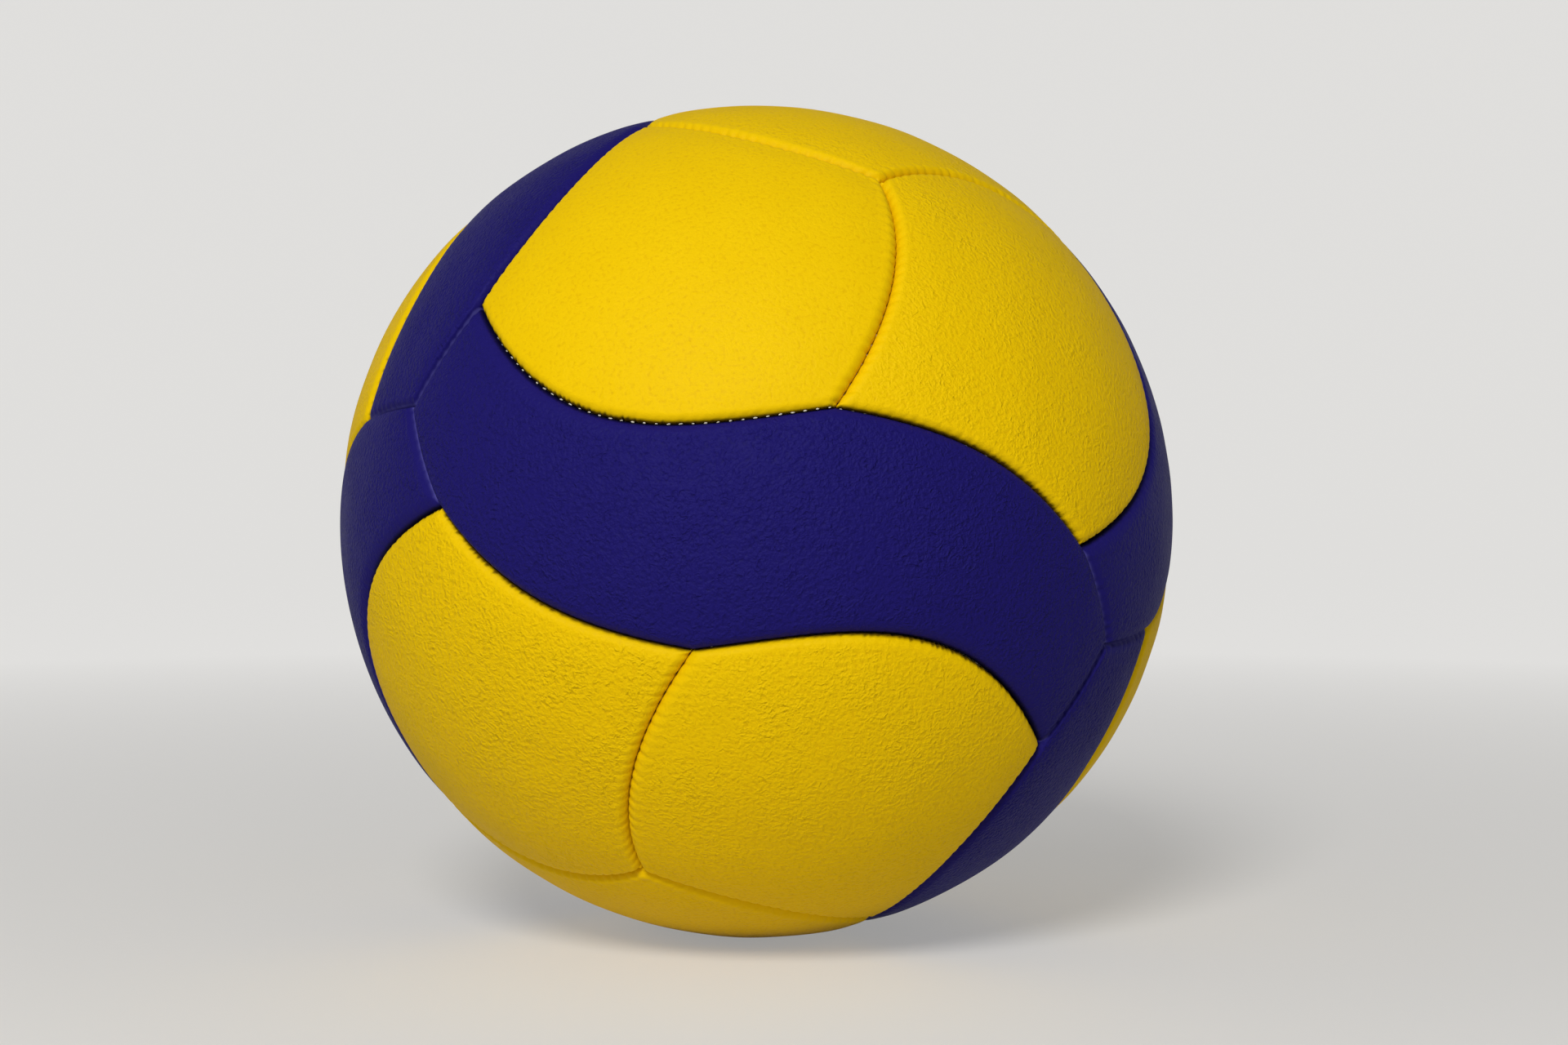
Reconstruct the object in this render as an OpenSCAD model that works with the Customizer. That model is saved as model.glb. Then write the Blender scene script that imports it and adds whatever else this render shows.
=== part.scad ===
// Stitched indoor volleyball, size 5, with its covers, padding, cloth, bladder and valve.
// Origin at the ball's centre, +Z up, the valve facing +Y.

/* [Ball] */
// Diameter across the crowns of the panels
ball_d = 210; // [200:1:216]
// Turn of the panel pattern about the valve's axis, in degrees
pattern_roll = 26; // [0:1:90]

/* [Covers] */
// Thickness of the synthetic leather
cover_t = 1.4; // [1:0.1:1.8]
// How far a panel's edge falls below its crown at the seam
edge_drop = 1.8; // [1:0.1:2.2]
// Width of the rolled edge beside a seam
edge_roll = 10; // [7:0.5:12]
// Gap between the hems of two panels at a seam
seam_gap = 0.3; // [0.2:0.05:0.5]

/* [Padding] */
// Thickness of the foam behind a cover
foam_t = 2.4; // [2:0.1:3.2]
// Clearance between one layer and the next
layer_gap = 0.3; // [0.2:0.05:0.5]

/* [Cloth] */
// Thickness of the two cloth cups round the bladder
cloth_t = 0.6; // [0.4:0.1:1]
// Gap between the two cups where they are sewn
cup_gap = 0.2; // [0.1:0.05:0.5]

/* [Bladder] */
// Wall of the rubber bladder
bladder_t = 0.7; // [0.5:0.1:1.2]

/* [Valve] */
// Diameter of the valve stem, which shows in the panel
stem_d = 9; // [7.5:0.1:11]
// Depth of the stem's face below the crown
stem_recess = 0.1; // [0.1:0.1:0.6]
// Length of the stem inside the bladder
stem_inner_l = 12; // [9:0.5:16]
// Diameter of the flange bonded inside the bladder
flange_d = 28; // [20:1:36]
// Thickness of the flange
flange_t = 1.2; // [0.8:0.1:2]
// Diameter of the self-sealing core
core_d = 5; // [4:0.1:5.6]
// Diameter of the core's collar
collar_d = 6.6; // [6:0.1:6.8]
// Thickness of the core's collar
collar_t = 1.2; // [0.8:0.1:2]
// Diameter of the hole for the inflation needle
needle_d = 2.2; // [1.8:0.1:2.6]
// Depth of the hole for the inflation needle
needle_l = 12; // [8:0.5:14]
// Radial clearance of the stem in the layers it passes
stem_gap = 0.2; // [0.1:0.05:0.5]
// Radial clearance of the core in the stem
core_gap = 0.1; // [0.05:0.05:0.2]

/* [Hidden] */
// Places on one face of a cube round the ball, as shares of half the face's side.
// The seams' ends on a blue panel: beside its waist and at its tip.
waist_share = [0.259, 0.172];
tip_share = [0.8515, -0.486];
// Yellow and blue corners of that face
yellow_corner_share = [1, 1];
blue_corner_share = [1, -1];
// Handles that bend the four kinds of seam
long_seam_shares = [[-0.20, 0.30], [-0.36, 0.39]];
short_seam_shares = [[0.52, 0.0], [0.67, -0.13]];
yellow_seam_shares = [[0.75, 0.51], [0.47, 0.29]];
blue_seam_shares = [[0.96, -0.84], [0.91, -0.66]];

// Rows of a panel's mesh across it, close together at its edges, as shares of its width
function there_and_back(half) = concat(half, [0.5], [for (i = [len(half) - 1:-1:0]) 1 - half[i]]);
half_yellow_shares = [0, 0.012, 0.05, 0.13, 0.21, 0.3, 0.4];
yellow_row_shares = there_and_back(half_yellow_shares);
half_blue_shares = [0, 0.015, 0.065, 0.17, 0.33];
blue_row_shares = there_and_back(half_blue_shares);
half_length_shares = [0, 0.006, 0.025, 0.065, 0.105, 0.15, 0.2, 0.25, 0.3, 0.35, 0.395, 0.435];
blue_length_shares = there_and_back(half_length_shares);
// Which of those rows the inside of a cover and its padding keep
yellow_inner_rows = [0, 3, 5, 7, 9, 11, 14];
blue_inner_rows = [0, 3, 4, 5, 6, 7, 10];
blue_inner_lengths = [0, 3, 5, 7, 9, 11, 13, 15, 17, 19, 21, 24];

// How far the cutters overrun
over = 1;
round_fn = 96;
foam_fn = 240;

ball_r = ball_d / 2;
pad_out_r = ball_r - cover_t - layer_gap;
pad_in_r = pad_out_r - foam_t;
cloth_r = pad_in_r - layer_gap;
bladder_r = cloth_r - cloth_t - layer_gap;
bladder_in_r = bladder_r - bladder_t;
flange_r = bladder_in_r - core_gap;
face_r = ball_r - stem_recess;
stem_end_r = bladder_in_r - stem_inner_l;
stem_hole_d = stem_d + 2 * stem_gap;

BLUE_SIDES = ["front", "back", "right", "left", "top", "bottom"];
YELLOW_SIDES = ["top_front", "right_back", "left_back", "bottom_front"];
LETTERS = ["a", "b", "c"];
// Third turns about the first yellow corner, then a half turn, that carry the first panel to each
blue_turns = [0, 0, 1, 1, 2, 2];
blue_flips = [[0, 0, 0], [180, 0, 0], [0, 0, 0], [0, 180, 0], [0, 0, 0], [180, 0, 0]];
yellow_flips = [[0, 0, 0], [180, 0, 0], [0, 180, 0], [0, 0, 180]];

function blue_names(kind) = [for (side = BLUE_SIDES) str(kind, "_blue_", side)];
function yellow_name(kind, side, letter) = str(kind, "_yellow_", YELLOW_SIDES[side], "_", LETTERS[letter]);
function yellow_names(kind) = [
    for (s = [0:len(YELLOW_SIDES) - 1]) for (l = [0:len(LETTERS) - 1]) yellow_name(kind, s, l)
];

// Directions from the ball's centre
function unit(v) = v / norm(v);
function third_on(v) = [v[2], v[0], v[1]];
function third_back(v) = [v[1], v[2], v[0]];
function half_round(v) = [-v[0], -v[1], v[2]];

// A cubic curve drawn on the cube's face and thrown onto the sphere
function cubic(p, t) =
    p[0] * pow(1 - t, 3) + p[1] * 3 * t * pow(1 - t, 2) + p[2] * 3 * t * t * (1 - t) + p[3] * pow(t, 3);
function on_sphere(p) = unit([p[0], p[1], 1]);
function curve(from, handles, to, t) = on_sphere(cubic([from, handles[0], handles[1], to], t));

// The tip of the panel next to this one, a third turn away
far_tip_share = [tip_share[1] / tip_share[0], 1 / tip_share[0]];
function long_seam(t) = curve(waist_share, long_seam_shares, far_tip_share, t);
function short_seam(t) = curve(waist_share, short_seam_shares, tip_share, t);
function yellow_seam(t) = curve(yellow_corner_share, yellow_seam_shares, waist_share, t);
function blue_seam(t) = curve(blue_corner_share, blue_seam_shares, tip_share, t);

// The four sides of the S-shaped blue panel, each run from 0 to 1
function blue_left(v) = v < 0.5 ? half_round(blue_seam(1 - 2 * v)) : third_back(blue_seam(2 * v - 1));
function blue_right(v) = half_round(blue_left(1 - v));
function blue_top(u) = u < 0.5 ? long_seam(1 - 2 * u) : short_seam(2 * u - 1);
function blue_bottom(u) = half_round(blue_top(1 - u));

// The four sides of the kite-shaped yellow panel
function yellow_left(v) = third_on(yellow_seam(v));
function yellow_right(v) = short_seam(v);
function yellow_top(u) = third_on(long_seam(u));
function yellow_bottom(u) = yellow_seam(u);

function left(blue, v) = blue ? blue_left(v) : yellow_left(v);
function right(blue, v) = blue ? blue_right(v) : yellow_right(v);
function top(blue, u) = blue ? blue_top(u) : yellow_top(u);
function bottom(blue, u) = blue ? blue_bottom(u) : yellow_bottom(u);

// A point inside the four sides, blended from all of them
function patch(blue, u, v) = unit(
    (1 - v) * bottom(blue, u) + v * top(blue, u) + (1 - u) * left(blue, v) + u * right(blue, v)
    - (1 - u) * (1 - v) * left(blue, 0) - u * (1 - v) * right(blue, 0)
    - (1 - u) * v * left(blue, 1) - u * v * right(blue, 1)
);

// The panel's length and width in millimetres through that point
function length_at(blue, v) = ball_r * norm(right(blue, v) - left(blue, v));
function width_at(blue, u) = ball_r * norm(top(blue, u) - bottom(blue, u));
function drawn_in(share, inset, span) = inset / span + share * (1 - 2 * inset / span);
function from_edge(share, span) = min(share, 1 - share) * span;

// Fall of the surface towards a seam, a quarter of an ellipse
function rolled(x) = 1 - sqrt(1 - x * x);
function fall(d) = edge_drop * rolled(max(0, min(1, 1 - d / edge_roll)));

function crowned(blue, u, v, inset, crown_r) =
    let (
        span_u = length_at(blue, v),
        span_v = width_at(blue, u),
        su = drawn_in(u, inset, span_u),
        sv = drawn_in(v, inset, span_v),
        d = min(from_edge(su, span_u), from_edge(sv, span_v)) - inset
    ) (crown_r - fall(d)) * patch(blue, su, sv);

function rows_u(blue) = blue ? blue_length_shares : yellow_row_shares;
function rows_v(blue) = blue ? blue_row_shares : yellow_row_shares;
function picked(list, rows) = [for (i = rows) list[i]];
function inner_u(blue) = picked(rows_u(blue), blue ? blue_inner_lengths : yellow_inner_rows);
function inner_v(blue) = picked(rows_v(blue), blue ? blue_inner_rows : yellow_inner_rows);

function sheet(blue, us, vs, inset, crown_r) =
    [for (u = us) for (v = vs) crowned(blue, u, v, inset, crown_r)];

// Index of a sheet's points round its rim, from the first corner and anticlockwise from outside
function rim(nu, nv) = concat(
    [for (i = [0:nu - 1]) i * (nv + 1)],
    [for (j = [0:nv - 1]) nu * (nv + 1) + j],
    [for (i = [nu:-1:1]) i * (nv + 1) + nv],
    [for (j = [nv:-1:1]) j]
);

// Each cell is split along the diagonal that runs towards the nearest corner
function sheet_faces(nu, nv) = [
    for (i = [0:nu - 1]) for (j = [0:nv - 1])
        let (
            a = i * (nv + 1) + j,
            b = a + nv + 1,
            c = b + 1,
            d = a + 1
        )
        each (2 * i < nu) == (2 * j < nv) ? [[a, c, b], [a, d, c]] : [[a, d, b], [b, d, c]]
];

function side_faces(loop, apex) = [
    for (i = [0:len(loop) - 1]) [loop[i], loop[(i + 1) % len(loop)], apex]
];

// A panel's shape down to the ball's centre: its crowned sheet over straight radial sides
module wedge(blue, us, vs, inset, crown_r) {
    points = sheet(blue, us, vs, inset, crown_r);
    nu = len(us) - 1;
    nv = len(vs) - 1;
    polyhedron(
        points = concat(points, [[0, 0, 0]]),
        faces = concat(sheet_faces(nu, nv), side_faces(rim(nu, nv), len(points)))
    );
}

// A cover: its crown, and the hem turned in along its seams round the space for the foam
module cover(blue) {
    difference() {
        difference() {
            wedge(blue, rows_u(blue), rows_v(blue), seam_gap / 2, ball_r);
            sphere(r = pad_in_r, $fn = round_fn);
        }
        wedge(blue, inner_u(blue), inner_v(blue), seam_gap / 2 + cover_t, ball_r - cover_t);
    }
}

// The foam that fills a cover, thinned towards the hem
module pad(blue) {
    difference() {
        wedge(blue, inner_u(blue), inner_v(blue), seam_gap / 2 + cover_t + layer_gap, pad_out_r);
        sphere(r = pad_in_r, $fn = foam_fn);
    }
}

// Carries the first panel of a colour to its place on the ball
module placed(turn, flip) {
    rotate([90, 0, 0])
        rotate([0, 0, pattern_roll])
            rotate(flip)
                rotate(a = 120 * turn, v = [1, 1, 1])
                    children();
}

// A cylinder along the valve's axis, between two distances from the centre
module along_valve(d, from, to) {
    rotate([-90, 0, 0])
        translate([0, 0, from])
            cylinder(d = d, h = to - from, $fn = round_fn);
}

module shell(r, t) {
    difference() {
        sphere(r = r, $fn = round_fn);
        sphere(r = r - t, $fn = round_fn);
    }
}

module blue_cover(i) {
    color("midnightblue")
        difference() {
            placed(blue_turns[i], blue_flips[i]) cover(true);
            if (BLUE_SIDES[i] == "back")
                along_valve(stem_hole_d, pad_in_r - over, ball_r + over);
        }
}

module yellow_cover(side, letter) {
    color("gold")
        placed(letter, yellow_flips[side]) cover(false);
}

module blue_pad(i) {
    color("gainsboro")
        difference() {
            placed(blue_turns[i], blue_flips[i]) pad(true);
            if (BLUE_SIDES[i] == "back")
                along_valve(stem_hole_d, pad_in_r - over, ball_r);
        }
}

module yellow_pad(side, letter) {
    color("whitesmoke")
        placed(letter, yellow_flips[side]) pad(false);
}

// Half of the cloth carcass, on the valve's side or on the other
module cloth_cup(back) {
    side = back ? 1 : -1;
    color("linen")
        difference() {
            shell(cloth_r, cloth_t);
            translate([0, side * (cup_gap / 2 - ball_r / 2), 0])
                cube([ball_d, ball_r, ball_d], center = true);
            if (back)
                along_valve(stem_hole_d, bladder_r - over, cloth_r + over);
        }
}

module bladder() {
    color("dimgray")
        difference() {
            shell(bladder_r, bladder_t);
            along_valve(stem_hole_d, bladder_in_r - over, bladder_r + over);
        }
}

// The valve's stem with the flange that is bonded inside the bladder
module valve_stem() {
    color("black")
        difference() {
            union() {
                along_valve(stem_d, stem_end_r, face_r);
                intersection() {
                    shell(flange_r, flange_t);
                    along_valve(flange_d, stem_end_r, ball_r);
                }
            }
            along_valve(core_d + 2 * core_gap, stem_end_r - over, face_r + over);
            along_valve(collar_d + 2 * core_gap, face_r - collar_t - core_gap, face_r + over);
        }
}

// The self-sealing core that the inflation needle goes into
module valve_core() {
    color("dimgray")
        difference() {
            union() {
                along_valve(core_d, stem_end_r, face_r);
                along_valve(collar_d, face_r - collar_t, face_r);
            }
            along_valve(needle_d, face_r - needle_l, face_r + over);
        }
}

for (i = [0:len(BLUE_SIDES) - 1]) {
    blue_cover(i);
    blue_pad(i);
}
for (s = [0:len(YELLOW_SIDES) - 1]) for (l = [0:len(LETTERS) - 1]) {
    yellow_cover(s, l);
    yellow_pad(s, l);
}
cloth_cup(false);  // cloth_cup_front
cloth_cup(true);  // cloth_cup_back
bladder();
valve_stem();
valve_core();
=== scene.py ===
import math

import bmesh
import bpy
import numpy as np
from mathutils import Matrix, Vector


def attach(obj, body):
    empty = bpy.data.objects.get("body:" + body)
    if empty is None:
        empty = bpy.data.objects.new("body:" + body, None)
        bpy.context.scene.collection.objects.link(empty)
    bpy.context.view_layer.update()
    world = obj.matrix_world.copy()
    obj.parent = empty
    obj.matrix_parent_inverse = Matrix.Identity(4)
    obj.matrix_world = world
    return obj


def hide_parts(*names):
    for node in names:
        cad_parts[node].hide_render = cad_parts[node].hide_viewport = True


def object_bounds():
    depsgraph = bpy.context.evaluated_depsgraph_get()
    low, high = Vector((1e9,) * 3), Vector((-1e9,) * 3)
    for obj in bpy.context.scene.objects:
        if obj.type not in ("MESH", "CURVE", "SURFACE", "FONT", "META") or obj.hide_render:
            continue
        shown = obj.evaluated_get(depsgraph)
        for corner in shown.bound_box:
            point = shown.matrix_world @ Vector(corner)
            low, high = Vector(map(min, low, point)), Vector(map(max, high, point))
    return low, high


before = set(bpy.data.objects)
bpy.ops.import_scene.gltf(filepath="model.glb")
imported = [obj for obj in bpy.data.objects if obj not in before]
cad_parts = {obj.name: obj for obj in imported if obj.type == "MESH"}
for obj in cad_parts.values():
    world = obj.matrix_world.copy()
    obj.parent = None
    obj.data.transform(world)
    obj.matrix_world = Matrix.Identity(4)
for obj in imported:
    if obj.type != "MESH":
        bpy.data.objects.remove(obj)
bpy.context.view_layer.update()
root = "root"

# the layers of the ball, outermost first, in metres, as the solids have them
ball = {
    "radius": 0.105,
    "patternRoll": 26,  # degrees about the valve's axis
    "hemRadius": 0.1009,  # the bottom of the turned-in hems and of the foam
    "clothRadius": 0.1006,
    "clothThickness": 0.0006,
    "cupGap": 0.0002,
    "bladderRadius": 0.0997,
    "bladderWall": 0.0007,
    "holeRadius": 0.0047,  # the hole for the valve in every layer
    "holeReach": (0.0990, 0.1070),  # along the valve's axis, through the foam and the cover
}

# the pattern of seams on one face of a cube round the ball, in shares of half the face
seams = {
    "long": [(0.259, 0.172), (-0.20, 0.30), (-0.36, 0.39), (-0.486 / 0.8515, 1 / 0.8515)],
    "short": [(0.259, 0.172), (0.52, 0.0), (0.67, -0.13), (0.8515, -0.486)],
    "yellow": [(1, 1), (0.75, 0.51), (0.47, 0.29), (0.259, 0.172)],
    "blue": [(1, -1), (0.96, -0.84), (0.91, -0.66), (0.8515, -0.486)],
}
stitching = {
    "pitch": 0.0028,
    "threadRadius": 0.00018,
    "thickRange": (0.8, 1.15),
    "length": 0.00095,
    "lengthRange": (0.65, 1.15),
    "slant": 9,  # degrees across the seam
    "slantRange": (-0.4, 1.6),
    # how high the stitches lie at the start and the end of each seam
    "level": {
        "long": (0.10318, 0.10195), "short": (0.10180, 0.10180), "yellow": (0.10150, 0.10150),
        "blue": (0.10150, 0.10150),
    },
    # how much deeper the twelve seams of a kind lie, by their turn and by their flip
    "deeperByTurn": (0, 0.0003, 0.0002),
    "deeperByFlip": (0, 0.0001, 0.0003, 0.0016),
    "wave": 0.00022,
    "waveLength": 0.038,
    "jitter": 0.00013,
    "lookOn": 0.004,  # the next point of the seam, which gives its direction
    "seed": 7,
}


def unit(v):
    return v / np.linalg.norm(v, axis=-1, keepdims=True)


def seamAt(name, t):
    a, b, c, d = (np.array(p, float) for p in seams[name])
    t = np.asarray(t, float)[..., None]
    flat = a * (1 - t) ** 3 + 3 * b * t * (1 - t) ** 2 + 3 * c * t**2 * (1 - t) + d * t**3
    return unit(np.concatenate([flat, np.ones(flat.shape[:-1] + (1,))], -1))


def measuredSeam(name, samples=400):
    # arc length along the seam, and how many stitches it takes
    t = np.linspace(0, 1, samples)
    steps = np.linalg.norm(np.diff(seamAt(name, t), axis=0), axis=1) * ball["radius"]
    along = np.concatenate([[0], np.cumsum(steps)])
    return t, along, round(along[-1] / stitching["pitch"])


seamLengths = {name: measuredSeam(name) for name in seams}


def stitchCount(name, t):
    # the stitches up to this place: 0 at the seam's start, and a half at the first one's middle
    ts, along, count = seamLengths[name]
    return np.interp(t, ts, along) / along[-1] * count


def thirdOn(v):
    return v[..., [2, 0, 1]]


def thirdBack(v):
    return v[..., [1, 2, 0]]


def halfRound(v):
    return v * np.array([-1, -1, 1])


# each side of a panel is a list of (part of the side, seam, its start and end, how it is turned)
def sideAt(side, share):
    share = np.clip(np.asarray(share, float), 0, 1)
    place, count = np.zeros(share.shape + (3,)), np.zeros(share.shape)
    for (low, high), name, (start, end), turn in side:
        here = (share >= low) & (share <= high)
        t = start + (share[here] - low) / (high - low) * (end - start)
        place[here] = turn(seamAt(name, np.clip(t, 0, 1)))
        count[here] = stitchCount(name, np.clip(t, 0, 1))
    return place, count


def same(v):
    return v


firstHalf, lastHalf, whole = (0, 0.5), (0.5, 1), (0, 1)
blueSides = {
    "left": [(firstHalf, "blue", (1, 0), halfRound), (lastHalf, "blue", (0, 1), thirdBack)],
    "right": [
        (firstHalf, "blue", (1, 0), lambda v: halfRound(thirdBack(v))),
        (lastHalf, "blue", (0, 1), same),
    ],
    "top": [(firstHalf, "long", (1, 0), same), (lastHalf, "short", (0, 1), same)],
    "bottom": [(firstHalf, "short", (1, 0), halfRound), (lastHalf, "long", (0, 1), halfRound)],
}
yellowSides = {
    "left": [(whole, "yellow", (0, 1), thirdOn)],
    "right": [(whole, "short", (0, 1), same)],
    "top": [(whole, "long", (0, 1), thirdOn)],
    "bottom": [(whole, "yellow", (0, 1), same)],
}


def patchAt(sides, u, v):
    # a point inside the four sides, blended from all of them
    left, right = sideAt(sides["left"], v)[0], sideAt(sides["right"], v)[0]
    top, bottom = sideAt(sides["top"], u)[0], sideAt(sides["bottom"], u)[0]
    ends = np.array([0.0, 1.0])
    c00, c10 = sideAt(sides["bottom"], ends)[0]
    c01, c11 = sideAt(sides["top"], ends)[0]
    u, v = u[..., None], v[..., None]
    return unit(
        (1 - v) * bottom + v * top + (1 - u) * left + u * right
        - (1 - u) * (1 - v) * c00 - u * (1 - v) * c10 - (1 - u) * v * c01 - u * v * c11
    )


def spans(sides, u, v):
    across = sideAt(sides["right"], v)[0] - sideAt(sides["left"], v)[0]
    along = sideAt(sides["top"], u)[0] - sideAt(sides["bottom"], u)[0]
    return (ball["radius"] * np.linalg.norm(w, axis=-1) for w in (across, along))


# the surface of a panel: its crown, the rolled edge beside a seam and the hem below it
cover = {
    "thickness": 0.0014,
    "halfGap": 0.00003,  # from the seam to the hem
    "wallRows": 2,
    "rollRows": 9,
    "corner": 8,  # 2 rounds the corners of a panel, and more makes them sharper
    "crownWidth": 0.012,
    "crownDrop": 0.0006,
    "crownPower": 2.2,
    "cells": {"blue": (362, 102), "yellow": (150, 150)},
    "innerCells": {"blue": (66, 22), "yellow": (28, 28)},
    "beadPlace": 0.0021,  # the low ridge over the hem's turned-in edge
    "beadSpread": 0.0010,
    "pullReach": 0.0014,
    "pullRange": (0.45, 1.4),  # the weakest and the strongest stitch
    "pullPower": 2.5,  # how narrow the puckers are
    "pullLean": 0.22,  # how far the puckers lean along the seam
    "leanReach": 0.004,
    "rippleReach": 0.0020,
    "toothRange": (0.2, 1.2),
    "toothStart": 16,  # the teeth grow from the 16th to the 32nd of the seam
    "wander": 0.00009,  # slow unevenness of the crown
    "wanderFrom": 0.004,
    "grooveFade": 0.00042,
    "sidePower": 4,  # how much more the nearest side counts than the others
    "closest": 0.00002,
}
manyStitches = 400  # more than any side has
# each side of a panel: width and drop of its rolled edge, the ridge beside it, and how far a stitch
# pulls it down, pulls it back from the seam and ripples it further in, how far the edge is jagged, how
# much painted shade lies by its groove (below 0 a painted pale highlight), how far up from the seam, and
# how much further in teeth
rolls = {
    "yellowByBlue": {
        "width": 0.0024, "drop": 0.0022, "bead": 0.00006,
        "pull": 0.00027, "back": 0.00020, "ripple": 0.00005,
        "jag": 0.00030, "paintedShading": 0.9, "reach": 0.00068, "teeth": 0.00040,
    },
    "yellowByYellow": {
        "width": 0.0021, "drop": 0.0021, "bead": 0.00018,
        "pull": 0.00050, "back": 0.00006, "ripple": 0.00018,
        "jag": 0, "paintedShading": 0.06, "reach": 0.00068, "teeth": 0,
    },
    "blueByYellow": {
        "width": 0.0030, "drop": 0.0022, "bead": 0.00004,
        "pull": 0.00010, "back": 0.00005, "ripple": 0.00003,
        "jag": 0.00004, "paintedShading": 0.9, "reach": 0.00068, "teeth": 0.00010,
    },
    "blueByBlue": {
        "width": 0.0022, "drop": 0.0020, "bead": 0.00012,
        "pull": 0.00030, "back": 0.00005, "ripple": 0.00012,
        "jag": 0, "paintedShading": -0.6, "reach": 0.00085, "teeth": 0.00050,
    },
    "sewnIn": {"width": 0.0008, "drop": 0.0009, "bead": 0, "paintedShading": 0, "reach": 0, "teeth": 0},
    "foam": {"width": 0.0014, "drop": 0.0010, "bead": 0, "paintedShading": 0, "reach": 0, "teeth": 0},
}
coverRolls = {
    "blue": {
        "left": "blueByBlue", "right": "blueByBlue",
        "top": "blueByYellow", "bottom": "blueByYellow",
    },
    "yellow": {
        "left": "yellowByYellow", "bottom": "yellowByYellow",
        "right": "yellowByBlue", "top": "yellowByBlue",
    },
}
foam = {
    "inset": 0.00185,
    "radius": 0.1033,
    "cells": {"blue": (72, 26), "yellow": (30, 30)},
}
coarseEdge = (1, 3)  # rows of the wall and of the roll where the edge doesn't show


def edgeRows(wallRows, rollRows):
    # for each row from the hem's bottom: shares of the roll's width and drop, and of the wall still below
    angles = np.linspace(0, math.pi / 2, rollRows + 1)
    away = np.concatenate([np.zeros(wallRows), 1 - np.cos(angles)])
    fall = np.concatenate([np.ones(wallRows), 1 - np.sin(angles)])
    wall = np.concatenate([1 - np.arange(wallRows) / max(wallRows, 1), np.zeros(rollRows + 1)])
    return away, fall, wall


def slowWaves(points, seed, count=10, low=0.010, high=0.032, peak=1.6):
    # a smooth unevenness, mostly between -1 and 1, from sine waves of lengths from low to high
    dice = np.random.default_rng(seed)
    heading = unit(dice.normal(size=(count, 3)))
    number = 2 * math.pi / dice.uniform(low, high, count)
    start = dice.uniform(0, 2 * math.pi, count)
    waves = np.sin(points @ (heading * number[:, None]).T + start)
    return waves.sum(-1) / math.sqrt(count) / peak


def teethAlong(side, share, seed, number):
    # two uneven teeth to each stitch, and none near the seam's start
    count = 2 * sideAt(side, share)[1]
    heights = np.random.default_rng((seed or 0, number)).uniform(*cover["toothRange"], manyStitches)
    tall = heights[np.rint(count).astype(int) % manyStitches]
    grown = np.clip(count / cover["toothStart"] - 1, 0, 1)
    return tall * (0.5 + 0.5 * np.cos(2 * math.pi * count)) * grown


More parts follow.
